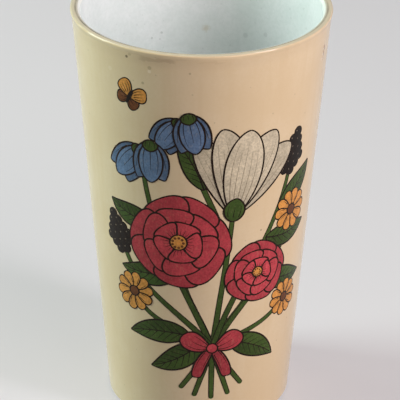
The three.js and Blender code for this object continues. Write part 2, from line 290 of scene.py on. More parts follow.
def outer_coat_skin():
    """The ivory coat covers the wall and the rim, and ends in a round edge on the foot and at the
    rim's inner edge."""
    foot_outside = (wall_radius(glaze_line), glaze_line)
    foot_inside = (wall_radius(glaze_line, glaze_thickness), glaze_line)
    return turned(
        rim_outer_arc(0),
        coat_edge((joint_radius, height), (joint_radius, height - glaze_thickness), 1),
        rim_outer_arc(glaze_thickness)[::-1],
        coat_edge(foot_inside, foot_outside, 1),
        rim_outer_arc(0)[:1],
    )


def lining_skin():
    """The white lining starts past the groove at the rim's inner edge, and runs down the wall and
    over the inner floor."""
    start = math.pi / 2 + coat_joint / rim_inner_round
    face, back = rim_inner_arc(0, start), rim_inner_arc(glaze_thickness, start)
    return turned(
        (0, floor_thickness - glaze_thickness),
        floor_arc(glaze_thickness)[::-1],
        back[::-1],
        coat_edge(back[0], face[0], -1)[1:-1],
        face,
        floor_arc(0),
        (0, floor_thickness),
    )


def underside_coat_skin():
    """The coat in the recess: its face out to the side, and its back in again to the axis."""
    return turned(
        (0, foot_depth),
        recess_arc(0),
        recess_arc(glaze_thickness)[::-1],
        (0, foot_depth + glaze_thickness),
    )


# Finishes

# Shares of a mark's radius: where a speck or spot is full, and where the stain is full and ends
speck_core = 0.55
spot_core = 0.6
stain_core = 0.4
stain_reach = 1.5

# The range of noise that makes soft patches, and how places are squeezed so that it makes streaks
wide_spread = (0.3, 0.7)
streak_squeeze = (1, 1, 0.03)
brush_squeeze = (1, 1, 0.4)
smear_squeeze = (0.4, 0.4, 1)


def new_finish(name, **constants):
    """A material and its shader, with constant inputs set on the shader itself."""
    finish = bpy.data.materials.new(name)
    finish.use_nodes = True
    shader = finish.node_tree.nodes["Principled BSDF"]
    for socket, value in constants.items():
        shader.inputs[socket.replace("_", " ")].default_value = value
    return finish, shader


def feed(shader, **sockets):
    """Links what other nodes give to inputs of the shader."""
    for socket, value in sockets.items():
        shader.id_data.links.new(value, shader.inputs[socket.replace("_", " ")])


def add_node(tree, kind, **settings):
    """A new node with its settings."""
    made = tree.nodes.new("ShaderNode" + kind)
    for name, value in settings.items():
        setattr(made, name, value)
    return made


def node(kind, inputs, output=0, **settings):
    """One output of a new node, in the tree of the nodes that feed it. Each input is given a
    constant or another node's output."""
    tree = next(value.id_data for value in inputs.values() if isinstance(value, bpy.types.NodeSocket))
    made = add_node(tree, kind, **settings)
    for socket, value in inputs.items():
        if isinstance(value, bpy.types.NodeSocket):
            tree.links.new(value, made.inputs[socket])
        else:
            made.inputs[socket].default_value = value
    return made.outputs[output]


def maths(operation, first, second=0.0):
    return node("Math", {0: first, 1: second}, operation=operation)


def weakened(mask, strength):
    return maths("MULTIPLY", mask, strength)


def raised(value, mask, most):
    """A value, raised by up to most where a mask shows."""
    return maths("ADD", value, weakened(mask, most))


def overlap(*masks):
    """The product of several masks."""
    return reduce(weakened, masks)


def greatest(*masks):
    """The greatest of several masks."""
    return reduce(lambda most, mask: maths("MAXIMUM", most, mask), masks)


def blend(share, first, second):
    """Mixes two colours by a share."""
    return node("Mix", {0: share, 6: first, 7: second}, output=2, data_type="RGBA")


def layered(ground, *layers):
    """Colours laid over a ground, one after another, each where its mask shows and with a strength."""
    for mask, strength, colour in layers:
        ground = blend(weakened(mask, strength), ground, colour)
    return ground


def from_to(value, start, end, low=0.0, high=1.0):
    """Runs smoothly from low to high as the value goes from start to end."""
    inputs = {"Value": value, "From Min": start, "From Max": end, "To Min": low, "To Max": high}
    return node("MapRange", inputs, interpolation_type="SMOOTHSTEP")


def between(value, start, full, fading, end):
    """A mask that rises as the value goes from start to full, and falls as it goes from fading to
    end."""
    return overlap(from_to(value, start, full), from_to(value, end, fading))


def object_place(tree, squeeze=(1, 1, 1)):
    """The place on the object in millimetres, squeezed along each axis. Noise is drawn out along an
    axis whose places are squeezed."""
    place = add_node(tree, "TexCoord").outputs["Object"]
    scale = [share / millimetre for share in squeeze]
    return node("Mapping", {"Vector": place, "Scale": scale}, vector_type="POINT")


def part_along(vector, axis):
    return node("SeparateXYZ", {"Vector": vector}, output=axis)


def turn_round(place):
    """The angle round the axis from the front in degrees, positive to the right."""
    angle = maths("ARCTAN2", part_along(place, "X"), weakened(part_along(place, "Y"), -1))
    return maths("DEGREES", angle)


def axis_distance(place):
    """The distance from the beaker's axis, in millimetres."""
    flat = node("VectorMath", {0: place, 1: (1, 1, 0)}, operation="MULTIPLY")
    return node("VectorMath", {0: flat}, output="Value", operation="LENGTH")


def wall_distance(place, turn, z, inside):
    """The distance from a point of the wall, or of the lining inside, that is given by its angle in
    degrees from the front and its height."""
    angle = math.radians(turn)
    wall = lining_radius(z) if inside else wall_radius(z)
    point = (wall * math.sin(angle), -wall * math.cos(angle), z)
    return node("VectorMath", {0: place, 1: point}, output="Value", operation="DISTANCE")


def noise(place, grain, detail=2.0, roughness=0.5):
    """Soft noise from 0 to 1 whose patches are about grain millimetres wide."""
    inputs = {"Vector": place, "Scale": 1 / grain, "Detail": detail, "Roughness": roughness}
    return node("TexNoise", inputs)


def patches(place, grain, detail=2.0, roughness=0.5, spread=(0.35, 0.65), values=(0.0, 1.0)):
    """Noise drawn apart into patches: its spread becomes the whole range of values."""
    return from_to(noise(place, grain, detail, roughness), *spread, *values)


def specks(place, spacing, radius, share):
    """A mask of small round specks. Of the cells, each spacing millimetres wide, only this share
    holds one."""
    cells = {"Vector": place, "Scale": 1 / spacing, "Randomness": 1.0}
    distance = weakened(node("TexVoronoi", cells, output="Distance"), spacing)
    chance = node("SeparateColor", {"Color": node("TexVoronoi", cells, output="Color")})
    chosen = maths("LESS_THAN", chance, share)
    return overlap(from_to(distance, radius, radius * speck_core), chosen)


def marks(place, spots, inside=False):
    """One mask of several round spots on the wall or the lining, each with its own strength."""
    masks = []
    for turn, z, radius, strength in spots:
        distance = wall_distance(place, turn, z, inside)
        masks.append(weakened(from_to(distance, radius, radius * spot_core), strength))
    return greatest(*masks)


def relief(shader, *layers):
    """Bump from several heights from 0 to 1, each with its depth in millimetres."""
    normal = None
    for level, depth in layers:
        inputs = {"Height": level, "Distance": depth * millimetre, "Strength": 1.0}
        if normal:
            inputs["Normal"] = normal
        normal = node("Bump", inputs)
    feed(shader, Normal=normal)


# Colours of the glazes, of the bare clay and of what marks them
ivory = linear(228, 203, 165)
ivory_deep = linear(221, 193, 151)
ivory_pale = linear(240, 220, 190)
# Painted light on the rim's roll, lighter than the ivory to lift the shade there
roll_painted_light = linear(248, 219, 176)
rim_ivory = linear(213, 197, 168)
run_in_tan = linear(200, 187, 162)
joint_grey = linear(128, 118, 98)
speck_grey = linear(128, 112, 92)
# Brown of iron specks and the scratch, and of a dimple's painted shade
iron_and_shade_brown = linear(92, 68, 32)
# Painted shade under the rim, and the smoky patch and smears there
smoke_and_shade_brown = linear(116, 70, 50)
scratch_tan = linear(188, 138, 96)
lining_white = linear(239, 241, 240)
lining_cloud = linear(232, 236, 234)
lining_mottle = linear(219, 224, 221)
# Painted light on the lining's upper edge, for the highlight on the rim's inner rounding
lining_painted_light = linear(250, 249, 240)
lining_grey = linear(126, 132, 126)
stain_ochre = linear(195, 176, 134)
clay_sand = linear(212, 199, 176)
clay_shade = linear(196, 178, 148)
clay_grit = linear(122, 100, 78)
groove_grime = linear(96, 90, 76)

# Marks in the glaze, among them a dimple's painted shade and light: degrees from the front, height,
# radius and strength
iron_specks_and_dimple_shade = [
    (-33.5, 117.2, 0.5, 0.8),
    (-31.9, 118.1, 0.6, 0.22),
    (-26, 110.3, 0.5, 0.34),
    # Painted shade on the upper side of a dimple
    (-22.5, 115.2, 0.7, 0.26),
    (-4.7, 114.7, 0.4, 0.32),
    (42, 88.9, 0.42, 0.45),
    (32.4, 63.9, 0.36, 0.45),
    (152, 84, 0.42, 0.5),
    (-118, 41, 0.38, 0.5),
    (98, 27, 0.42, 0.5),
]
# The first pale spot is painted light on the dimple's lower lip, the second a pale blotch
pale_spots_and_dimple_light = [(-22.6, 114.1, 0.62, 0.8), (-43.4, 112, 0.8, 0.35)]
lining_specks = [
    (-158.7, 99.3, 0.45, 0.24),
    (-153.2, 98.1, 0.42, 0.26),
    (-157.7, 97.4, 0.36, 0.2),
    (156.3, 98.9, 0.9, 0.15),
    (144.6, 100.4, 0.85, 0.17),
]

# A stain on the lining: degrees from the front, height and radius
lining_stain = (177.6, 99.9, 1.7)

# A scratch in the wall: degrees from the front, lowest and highest point. Its line and the stain
# beside it lie this far to the right of its middle, where each starts, is full, fades and ends
wall_scratch = (71.2, 108.5, 114.6)
scratch_line = (-0.45, -0.2, 0.2, 0.45)
scratch_stain = (-1.7, -1.1, -0.5, -0.1)

# Bands of marks and of painted light and shade, by height or by degrees from the front: where each
# starts, is full, fades and ends
roll_light_heights = (height - 2, height - 0.9, height - 0.4, height - 0.1)
roll_light_turns = (-70, -35, 8, 34)
shade_and_smoke_heights = (114.8, 117.4, 117.9, 118.7)
smoke_turns = (-34, -24, -18, -6)
smear_heights = (116.7, 117.1, 118.1, 118.6)
smear_turns = (-30, -25, -13, -9)
faint_smear_heights = (117.5, 117.9, 118.2, 118.6)
faint_smear_turns = (-4, 0, 8, 13)
darkest_joint_turns = (-80, -68, -54, -44)

# The smear's lower edge rises to the right: over which degrees, and from and to how many millimetres
smear_rise = (-20, -9, 0, 0.7)

# Changes at the rim, by height, distance from the axis or degrees: where each starts and is full
rim_top_heights = (height - 0.25, height - 0.02)
groove_heights = (height - 1, height - 0.5)
# Where the painted light on the lining's upper edge starts and is full
lining_light_heights = (height - 1.5, height - 0.6)
lining_edge_heights = (height - 0.5, height - 0.1)
ivory_by_joint = (joint_radius + 0.5, joint_radius + 0.1)
lining_by_joint = (joint_radius - 0.25, joint_radius - 0.06)
run_in_reach = (joint_radius - 0.7, joint_radius - 0.4)
run_in_turns = (35, 75)


def ivory_finish():
    """Glossy ivory glaze: cloudy and finely mottled, with faint upright streaks, specks, a few iron
    spots, a dimple's shade and light painted as a dark and a pale spot, and a scratch. It has painted
    light on the rim's roll, is duller on its top, greyer at the joint with the lining, and has painted
    shade just under the roll, with a smoky patch and smear in it."""
    finish, shader = new_finish("ivory_glaze_gloss", Specular_IOR_Level=0.5)
    place = object_place(finish.node_tree)
    z = part_along(place, "Z")
    streaked = object_place(finish.node_tree, streak_squeeze)
    scratch, stain, chips = scratched(place, z)
    on_rim = from_to(z, *rim_top_heights)
    at_joint = from_to(axis_distance(place), *ivory_by_joint)
    colour = layered(
        ivory,
        (patches(place, 16, 3), 0.6, ivory_deep),
        (patches(streaked, 2.4, spread=(0.45, 0.7)), 0.35, ivory_deep),
        (patches(place, 0.9, 3, 0.6), 0.25, ivory_deep),
        (specks(place, 3.1, 0.3, 0.3), 0.25, speck_grey),
        # Pale spots, one of them painted light on a dimple's lower lip
        (marks(place, pale_spots_and_dimple_light), 1, ivory_pale),
        # Iron specks, one of them painted shade on a dimple's upper side
        (marks(place, iron_specks_and_dimple_shade), 1, iron_and_shade_brown),
        # Painted shade under the rim, with a smoky patch and smears
        (shade_and_smear_under_rim(place, z), 1, smoke_and_shade_brown),
        (stain, 0.4, scratch_tan),
        (chips, 1, ivory_pale),
        (scratch, 1, iron_and_shade_brown),
        # Painted light on the rim's roll
        (painted_light_on_roll(place, z), 1, roll_painted_light),
        (on_rim, 0.8, rim_ivory),
        (overlap(at_joint, on_rim, joint_darkness(place, 0.25, 0.75)), 1, joint_grey),
    )
    uneven_gloss = patches(place, 5, 3, spread=wide_spread, values=(0.07, 0.14))
    feed(shader, Base_Color=colour, Roughness=uneven_gloss)
    pits = specks(place, 2.3, 0.14, 0.3)
    relief(shader, (noise(place, 14, 1), 0.06), (maths("SUBTRACT", 1, pits), 0.03))
    return finish


def joint_darkness(place, least, most):
    """How dark the joint of the coats is, which changes along it. A stretch at the left is the darkest."""
    darkest_stretch = between(turn_round(place), *darkest_joint_turns)
    return raised(patches(place, 6, 3, values=(least, most)), darkest_stretch, 0.35)


def painted_light_on_roll(place, z):
    """A mask of painted light on the rim's roll, which lightens the shade on its underside. It is
    fullest in front, and fades to both sides."""
    in_front = between(turn_round(place), *roll_light_turns)
    return overlap(between(z, *roll_light_heights), raised(0.12, in_front, 0.63))


def shade_and_smear_under_rim(place, z):
    """A mask of painted shade in a band under the rim, which fades downwards and is stronger in a smoky
    patch to the left. The patch holds a ragged smear, which narrows to the right, and there is a faint
    one near the middle."""
    turn = turn_round(place)
    # Painted shade in a band under the rim all round, stronger in the smoky patch
    band = overlap(between(z, *shade_and_smoke_heights), raised(0.05, between(turn, *smoke_turns), 0.08))
    stretched = object_place(place.id_data, smear_squeeze)
    raggedness = patches(stretched, 1.2, 3, spread=wide_spread, values=(-0.4, 0.4))
    ragged_z = maths("ADD", z, raggedness)
    start, full, fading, end = smear_heights
    above = from_to(maths("SUBTRACT", ragged_z, from_to(turn, *smear_rise)), start, full)
    smear = overlap(above, from_to(ragged_z, end, fading), between(turn, *smear_turns))
    faint = overlap(between(turn, *faint_smear_turns), between(ragged_z, *faint_smear_heights))
    return greatest(band, weakened(smear, 0.3), weakened(faint, 0.12))


def scratched(place, z):
    """Three masks of a fine wavering scratch that runs up the wall: its broken dark line, the stain
    to the left of it, and pale chips in that stain."""
    turn, lowest, highest = wall_scratch
    millimetres_per_degree = math.radians(rim_radius)
    waver = patches(place, 2.2, spread=wide_spread, values=(-0.45, 0.45))
    off = weakened(maths("SUBTRACT", turn_round(place), turn), millimetres_per_degree)
    off = maths("ADD", off, waver)
    length = between(z, lowest, lowest + 1, highest - 1, highest)
    broken = patches(place, 0.8, spread=(0.38, 0.46))
    line = overlap(between(off, *scratch_line), length, broken)
    stain = overlap(between(off, *scratch_stain), length)
    chips = overlap(stain, patches(place, 0.9, spread=(0.5, 0.6)))
    return line, stain, chips


def white_finish():
    """Glossy white glaze, faintly mottled, with soft grey specks and one brown stain. Its upper edge is
    painted lighter and warmer, as painted light on the rim's inner rounding, and is stained at the
    sides, where the ivory glaze has run into it."""
    finish, shader = new_finish("white_glaze_gloss", Roughness=0.12, Specular_IOR_Level=0.5)
    place = object_place(finish.node_tree)
    z = part_along(place, "Z")
    from_axis = axis_distance(place)
    at_sides = from_to(maths("ABSOLUTE", turn_round(place)), *run_in_turns)
    near_joint = overlap(from_to(from_axis, *lining_by_joint), from_to(z, *lining_edge_heights))
    colour = layered(
        lining_white,
        (patches(place, 9, 3), 1, lining_cloud),
        (patches(place, 1.1, 3, 0.6), 0.3, lining_mottle),
        (specks(place, 1.9, 0.32, 0.5), 0.1, lining_grey),
        (specks(place, 4.7, 0.55, 0.5), 0.1, lining_grey),
        (marks(place, lining_specks, inside=True), 1, lining_grey),
        (soft_stain(place), 0.42, stain_ochre),
        # Painted light on the lining's upper edge
        (from_to(z, *lining_light_heights), 1, lining_painted_light),
        (overlap(from_to(from_axis, *run_in_reach), at_sides), 0.9, run_in_tan),
        (overlap(near_joint, joint_darkness(place, 0.15, 0.7)), 1, joint_grey),
    )
    feed(shader, Base_Color=colour)
    relief(shader, (noise(place, 6, 2), 0.05), (noise(place, 0.9, 2), 0.006))
    return finish


def soft_stain(place):
    """A mask of the lining's stain, which fades all the way from its middle and is ragged."""
    turn, z, radius = lining_stain
    distance = wall_distance(place, turn, z, inside=True)
    ragged = raised(distance, noise(place, 0.8), radius)
    return from_to(ragged, stain_reach * radius, stain_core * radius)


def clay_finish():
    """Bare fired clay, sandy and matt, and grimy where the groove at the rim lays it open."""
    finish, shader = new_finish("biscuit_clay_bare", Roughness=0.85)
    place = object_place(finish.node_tree)
    grain = noise(place, 0.25, 4, 0.6)
    in_groove = from_to(part_along(place, "Z"), *groove_heights)
    colour = layered(
        clay_sand,
        (from_to(grain, 0.35, 0.65), 1, clay_shade),
        (specks(place, 1.4, 0.12, 0.4), 0.7, clay_grit),
        (overlap(in_groove, joint_darkness(place, 0.5, 1)), 1, groove_grime),
    )
    feed(shader, Base_Color=colour)
    relief(shader, (grain, 0.03))
    return finish


def enamel_finish(name, colour, thinness=0.1):
    """Fired enamel, unevenly inked: deeper towards the root of each petal or leaf, mottled, with
    upright brushy marks where the ivory shows through by its thinness, small nicks, and a softer
    gloss than the glaze."""
    finish, shader = new_finish(name, Specular_IOR_Level=0.12)
    tree = finish.node_tree
    place = object_place(tree)
    tone = add_node(tree, "Attribute", attribute_name="tone").outputs["Fac"]
    from_root = part_along(add_node(tree, "UVMap", uv_map="surface").outputs["UV"], "X")
    mottle = patches(place, 0.6, 3, 0.6, wide_spread, values=(0.84, 1.18))
    clouds = patches(place, 4.5, values=(0.9, 1.08))
    shade = overlap(tone, mottle, clouds, from_to(from_root, 0, 0.6, 0.76, 1.06))
    toned = node("VectorMath", {0: colour[:3], "Scale": shade}, operation="SCALE")
    brushy = patches(object_place(tree, brush_squeeze), 0.55, spread=(0.54, 0.72))
    nicks = patches(place, 0.42, 2, 0.6, spread=(0.74, 0.79))
    inked = layered(toned, (brushy, thinness, ivory_deep), (nicks, 0.55, ivory_deep))
    uneven_gloss = patches(place, 2, 3, spread=wide_spread, values=(0.16, 0.28))
    feed(shader, Base_Color=inked, Roughness=uneven_gloss)
    relief(shader, (noise(place, 0.5), 0.004))
    return finish


# The inks of the print
green_ink = enamel_finish("enamel_leaf_green", linear(62, 82, 34), 0.04)
crimson_ink = enamel_finish("enamel_crimson_red", linear(170, 61, 68), 0.08)
blue_ink = enamel_finish("enamel_bell_blue", linear(96, 118, 149), 0.12)
gold_ink = enamel_finish("enamel_marigold", linear(208, 142, 70))
brown_ink = enamel_finish("enamel_brown_warm", linear(104, 60, 32), 0.04)
cream_ink = enamel_finish("enamel_lily_cream", linear(198, 184, 158))
vein_ink = enamel_finish("enamel_vein_grey", linear(142, 128, 108))
black_ink = enamel_finish("enamel_berry_black", linear(28, 20, 14), 0.015)
light_ink = enamel_finish("enamel_berry_light", linear(112, 100, 86), 0.02)
key_ink = enamel_finish("enamel_key_brown", linear(32, 18, 10), 0.015)


# Drawing


def blade(root, heading, length, width, bend=0.0, rise=0.8, fall=0.6):
    """A petal or leaf, as a function of u, the share from its root to its tip, and v, from -1 at
    one side to 1 at the other. Its middle is an arc that turns by bend, so the chord to u is length
    times u sin(h) / h, where h is half of the turn so far. Its half width goes as
    u^rise (1 - u)^fall."""
    fullest = rise / (rise + fall)
    peak = fullest**rise * (1 - fullest) ** fall

    def point(u, v):
        half_turn = math.radians(bend) * u / 2
        chord = length * u * np.sinc(half_turn / math.pi)
        middle = math.radians(heading - bend / 2) + half_turn
        across = middle + half_turn + math.pi / 2
        reach = v * width / 2 * u**rise * (1 - u) ** fall / peak
        x = root[0] + chord * np.cos(middle) + reach * np.cos(across)
        y = root[1] + chord * np.sin(middle) + reach * np.sin(across)
        return np.stack(np.broadcast_arrays(x, y), axis=-1)

    point.length, point.width = length, width
    return point


def around(centre, distance, degrees):
    """The point at a distance from a centre, along an angle."""
    angle = math.radians(degrees)
    return centre[0] + distance * math.cos(angle), centre[1] + distance * math.sin(angle)


def disc(centre, radius):
    """A blade as wide as it is long, whose half width goes as the root of u (1 - u)."""
    return blade(around(centre, radius, -90), 90, 2 * radius, 2 * radius, rise=0.5, fall=0.5)


def eased(count):
    """Shares from 0 to 1 that crowd towards both ends: half of 1 less the cosine of even angles."""
    return (1 - np.cos(np.linspace(0, math.pi, count + 1))) / 2


def filled(shape, low=-1.0, high=1.0):
    """The grid of a blade from one side v to another, fine enough to bend round the wall."""
    u = eased(math.ceil(math.pi / 2 * shape.length / film_cell))
    v = np.linspace(low, high, math.ceil(shape.width * (high - low) / 2 / film_cell) + 1)
    return shape(u[:, None], v[None])


def stroke(path, first_width, last_width, swell=0.0):
    """A line of enamel along a path, as a grid. Its width runs evenly from first to last, is fuller
    by the share swell halfway, and closes at both ends in a half circle."""
    travelled = np.concatenate([[0], np.cumsum(np.linalg.norm(np.diff(path, axis=0), axis=1))])
    total = travelled[-1]
    cap = 1 - np.cos(np.linspace(0, math.pi / 2, edge_arc_steps + 1))
    start, end = first_width / 2, total - last_width / 2
    steps = np.linspace(start, end, math.ceil((end - start) / line_cell) + 1)[1:-1]
    along = np.concatenate([cap * start, steps, total - cap[::-1] * last_width / 2])
    middle = np.stack([np.interp(along, travelled, path[:, axis]) for axis in (0, 1)], axis=1)
    tangent = np.gradient(middle, along, axis=0)
    tangent /= np.linalg.norm(tangent, axis=1, keepdims=True)
    half = np.interp(along, [0, total], [first_width, last_width]) / 2
    to_end = np.clip(np.minimum(along, total - along) / half, 0, 1)
    half = half * np.sqrt(1 - (1 - to_end) ** 2) * (1 + swell * np.sin(math.pi * along / total))
    normal = np.stack([-tangent[:, 1], tangent[:, 0]], axis=1)
    across = np.linspace(-1, 1, line_points_across)
    return middle[:, None] + normal[:, None] * half[:, None, None] * across[:, None]


def curve(start, leave, arrive, end):
    """A cubic curve as a function of the share s along it: the sum of its four points, each times
    its weight (1 - s)^3, 3 (1 - s)^2 s, 3 (1 - s) s^2 or s^3."""
    handles = np.array([start, leave, arrive, end], float)

    def point(share):
        share = np.asarray(share, float)[..., None]
        weights = [(1 - share) ** 3, 3 * (1 - share) ** 2 * share, 3 * (1 - share) * share**2, share**3]
        return sum(weight * handle for weight, handle in zip(weights, handles))

    return point


# Laying films of enamel on the wall

# Millimetres from one film to the next, down into the glaze, and up to a line's fuller middle
film_step = 0.003
film_bed = 0.006
line_crown = 0.002

# How far the colours lie to the right of their key lines, and above them
misprint = np.array([-0.16, -0.1])

# How many films lie so far on each cell of the drawing. There are stack_half cells to each side of
# its origin, and as many above and below
stack_cell = 0.5
stack_half = 240
film_stack = np.zeros((2 * stack_half, 2 * stack_half), int)


def lay_on_wall(points, lift):
    """A drawn point (x, y) goes to the height of y up the wall, to the angle of x round it, and out
    from the wall by lift."""
    z = print_foot + points[..., 1] * print_scale
    angle = print_turn + points[..., 0] * print_scale / wall_radius(z)
    radius = wall_radius(z) + lift
    return np.stack([radius * np.sin(angle), -radius * np.cos(angle), z], axis=-1) * millimetre


def film(grid, level, crown, tone, finish):
    """The closed skin of a film over a drawn grid. Its top stands level steps above the glaze,
    higher by crown along its middle, and its bottom is bedded in the glaze."""
    across = np.linspace(-1, 1, grid.shape[1])
    top = lay_on_wall(grid, level * film_step + crown * (1 - across**2))
    bottom = lay_on_wall(grid, -film_bed)
    rings = np.concatenate([top, bottom[:, ::-1], top[:, :1]], axis=1)
    share = np.linspace(0, 1, len(grid))
    side = np.concatenate([across, across[::-1], across[:1]]) / 2 + 0.5
    uv = np.stack(np.broadcast_arrays(share[:, None], side[None]), axis=2)
    return closed_skin(rings, uv, tone, finish)


class Print:
    """The films of one printed piece, in the order in which they are drawn."""

    def __init__(self, *finishes):
        self.finishes = finishes
        self.skins = []

    def lay(self, grids, finish, tone=1.0, crown=0.0):
        """Lays films side by side, one step above the highest film that lies under any of them."""
        cells = np.concatenate([grid.reshape(-1, 2) for grid in grids]) / stack_cell
        column, row = (np.floor(cells).astype(int) + stack_half).T
        level = film_stack[column, row].max() + 1
        film_stack[column, row] = level
        tones = np.broadcast_to(tone, len(grids))
        index = self.finishes.index(finish)
        self.skins += [film(grid, level, crown, each, index) for grid, each in zip(grids, tones)]

    def fill(self, shapes, finish, tone=1.0):
        """Fills blades, off by the misprint."""
        self.lay([filled(shape) + misprint for shape in shapes], finish, tone)

    def lines(self, strokes, finish):
        self.lay(strokes, finish, crown=line_crown)

    def make(self, node_name):
        name = node_name.replace("print_", "enamel_")
        make_piece(name, self.skins, self.finishes, node_name)


# Widths of the dark key lines and of the veins at their root
key_width = 0.46
vein_width = 0.6 * key_width


def outline(shape, width=key_width):
    """The two sides of a blade, as lines that are fuller halfway."""
    u = eased(math.ceil(2 * shape.length / line_cell))
    return [stroke(shape(u, side), 0.85 * width, 0.85 * width, 0.35) for side in (-1, 1)]


def veins(shape, count, start, end):
    """Lines that run along a blade from share start to share end, spread over its middle. Each
    thins out, and every second one is shorter."""
    u = np.linspace(start, end, vein_points)
    spread = 0.62 * np.linspace(-1, 1, count)
    shares = 1 - 0.12 * (np.arange(count) % 2)
    drawn = zip(spread, shares)
    return [stroke(shape(u * share, v), vein_width, 0.3 * vein_width) for v, share in drawn]


def draw_petal(piece, shape, ink, tone=1.0, veined=None, key_line=key_width):
    """A filled blade with its outline. Where it is veined, it has so many veins, from one share of
    its length to another."""
    piece.fill([shape], ink, tone)
    drawn = outline(shape, key_line)
    if veined:
        drawn += veins(shape, *veined)
    piece.lines(drawn, key_ink)


def draw_leaf(piece, shape):
    """A leaf whose one half is darker. A rib runs up its middle, and six pairs of veins branch off
    it."""
    halves = [filled(shape, -1, 0) + misprint, filled(shape, 0, 1) + misprint]
    piece.lay(halves, green_ink, (0.8, 1.06))
    rib = stroke(shape(np.linspace(0, 0.94, rib_points), 0), 0.9 * key_width, 0.5 * key_width)
    branches = []
    share = np.linspace(0, 1, branch_points)
    for start in 0.14 + 0.12 * np.arange(6):
        for side in (-0.8, 0.8):
            path = shape(start + 0.16 * share, side * share)
            branches.append(stroke(path, 0.5 * key_width, 0.24 * key_width))
    piece.lines([*outline(shape), rib, *branches], key_ink)


def draw_disc(piece, centre, radius, ink, tone=1.0, key_line=0.9 * key_width):
    """A round petal about a centre."""
    draw_petal(piece, disc(centre, radius), ink, tone, key_line=key_line)


def draw_stem(piece, path, first_width=1.4, last_width=1.0):
    """A green stroke along a path, over a wider dark one whose edges show at both sides."""
    edge = 0.5
    points = path(np.linspace(0, 1, stem_points))
    piece.lines([stroke(points, first_width + edge, last_width + edge)], key_ink)
    piece.lines([stroke(points, first_width, last_width)], green_ink)


# The posy: its layout on the drawing, whose x runs to the right from the knot and whose y runs up
# from the lowest stem end

knot = (0, 18)


def stem(*handles, start=knot):
    """A stem's path: a cubic curve from its start by two handles to its end."""
    return curve(start, *handles)


lily_stem = stem((2, 36), (4, 49), (5, 62))
stems = {
    "large_rose": stem((-4, 31), (-10, 37), (-10, 51)),
    "lily": lily_stem,
    "small_rose": stem((4, 29), (10, 31), (13, 41)),
    "left_bells": stem((-6, 35), (-20, 57), (-21, 80)),
    "top_bells": stem((0, 66), (-7, 74), (-9, 90), start=lily_stem(0.7)),
    "right_marigold": stem((8, 35), (21, 41), (24, 55)),
    "left_marigold": stem((-8, 25), (-18, 25), (-23, 33)),
    "low_marigold": stem((8, 23), (16, 23), (22, 28)),
    "right_berries": stem((6, 41), (19, 53), (23, 71)),
    "left_berries": stem((-8, 31), (-24, 37), (-27, 48)),
}

# Cut stem ends below the knot: how far each reaches to the right and down
stem_ends = [(-9, 14), (-5, 16.5), (0, 17.5), (5, 16.5), (9, 13.5)]

# Leaves: the stem, how far along it the leaf grows, heading, length, width, bend
leaves = [
    ("large_rose", 0.8, 186, 19, 7.5, -30),
    ("left_bells", 0.68, 166, 16, 7, -40),
    ("top_bells", 0.5, 118, 17, 6.5, 25),
    ("right_berries", 0.8, 38, 17, 7, 30),
    ("right_berries", 0.62, 0, 17, 7, 35),
    ("right_marigold", 0.55, -14, 17, 7, 25),
    ("low_marigold", 0.18, -30, 18, 7.5, -30),
    ("left_marigold", 0.12, 214, 18, 7.5, -30),
    ("left_marigold", 0.25, 186, 19, 7.5, 35),
]


def print_foliage():
    """All stems, the cut stem ends and the leaves."""
    piece = Print(green_ink, key_ink)
    for path in stems.values():
        draw_stem(piece, path)
    for right, down in stem_ends:
        end = (knot[0] + right, knot[1] - down)
        draw_stem(piece, curve(knot, knot, end, end))
    for name, along, heading, length, width, bend in leaves:
        root = stems[name](along)
        draw_leaf(piece, blade(root, heading, length, width, bend, rise=0.75, fall=1))
    piece.make("print_foliage")


def print_rose(name, centre, radius, first_heading):
    """Three rings of petals, each ring smaller, lighter and turned on from the one outside it. A
    ring has its count, and its petals' start, length and width as shares of the radius."""
    piece = Print(crimson_ink, key_ink)
    ring_turn, petal_bend = 28, 14
    rings = [(7, 0.12, 0.9, 0.98), (6, 0.1, 0.66, 0.78), (5, 0.05, 0.42, 0.58)]
    for ring, (count, start, length, width) in enumerate(rings):
        for petal in range(count):
            heading = first_heading + ring_turn * ring + 360 * petal / count
            root = around(centre, start * radius, heading)
            bend = petal_bend if petal % 2 == 0 else -petal_bend
            shape = blade(root, heading, length * radius, width * radius, bend, rise=1.1, fall=0.45)
            draw_petal(piece, shape, crimson_ink, 1 + 0.14 * ring, (5, 0.12, 0.62))
    piece.make(name)


def print_rose_heart(name, centre, radius):
    """A golden disc with a ring of brown seeds."""
    piece = Print(gold_ink, brown_ink, key_ink)
    draw_disc(piece, centre, 0.17 * radius, gold_ink)
    seed_count = 9
    ring = [around(centre, 0.11 * radius, 360 * seed / seed_count) for seed in range(seed_count)]
    piece.fill([disc(seed, 0.03 * radius) for seed in ring], brown_ink)
    piece.make(name)


def print_lily(base, heading, length, width):
    """A fan of five petals, drawn from the outside in. Each has its lean, its bend, its length and
    width as shares of the lily's, and its tone."""
    piece = Print(cream_ink, vein_ink, key_ink)
    fan = [
        (34, 34, 0.96, 0.5, 0.9),
        (-34, -34, 0.96, 0.5, 0.9),
        (17, 20, 1, 0.52, 1),
        (-17, -20, 1, 0.52, 1),
        (0, 4, 0.96, 0.56, 1.08),
    ]
    for lean, bend, share, spread, tone in fan:
        shape = blade(base, heading + lean, share * length, spread * width, bend)
        piece.fill([shape], cream_ink, tone)
        piece.lines(veins(shape, 5, 0.06, 0.86), vein_ink)
        piece.lines(outline(shape), key_ink)
    piece.make("print_lily")


def print_calyx(name, centre, heading, length, width):
    """A green blade that starts behind a flower's root and lies over it."""
    piece = Print(green_ink, key_ink)
    root = around(centre, 0.2 * length, heading + 180)
    shape = blade(root, heading, length, width, rise=0.6, fall=0.65)
    draw_petal(piece, shape, green_ink, 1, (3, 0.2, 0.7))
    piece.make(name)


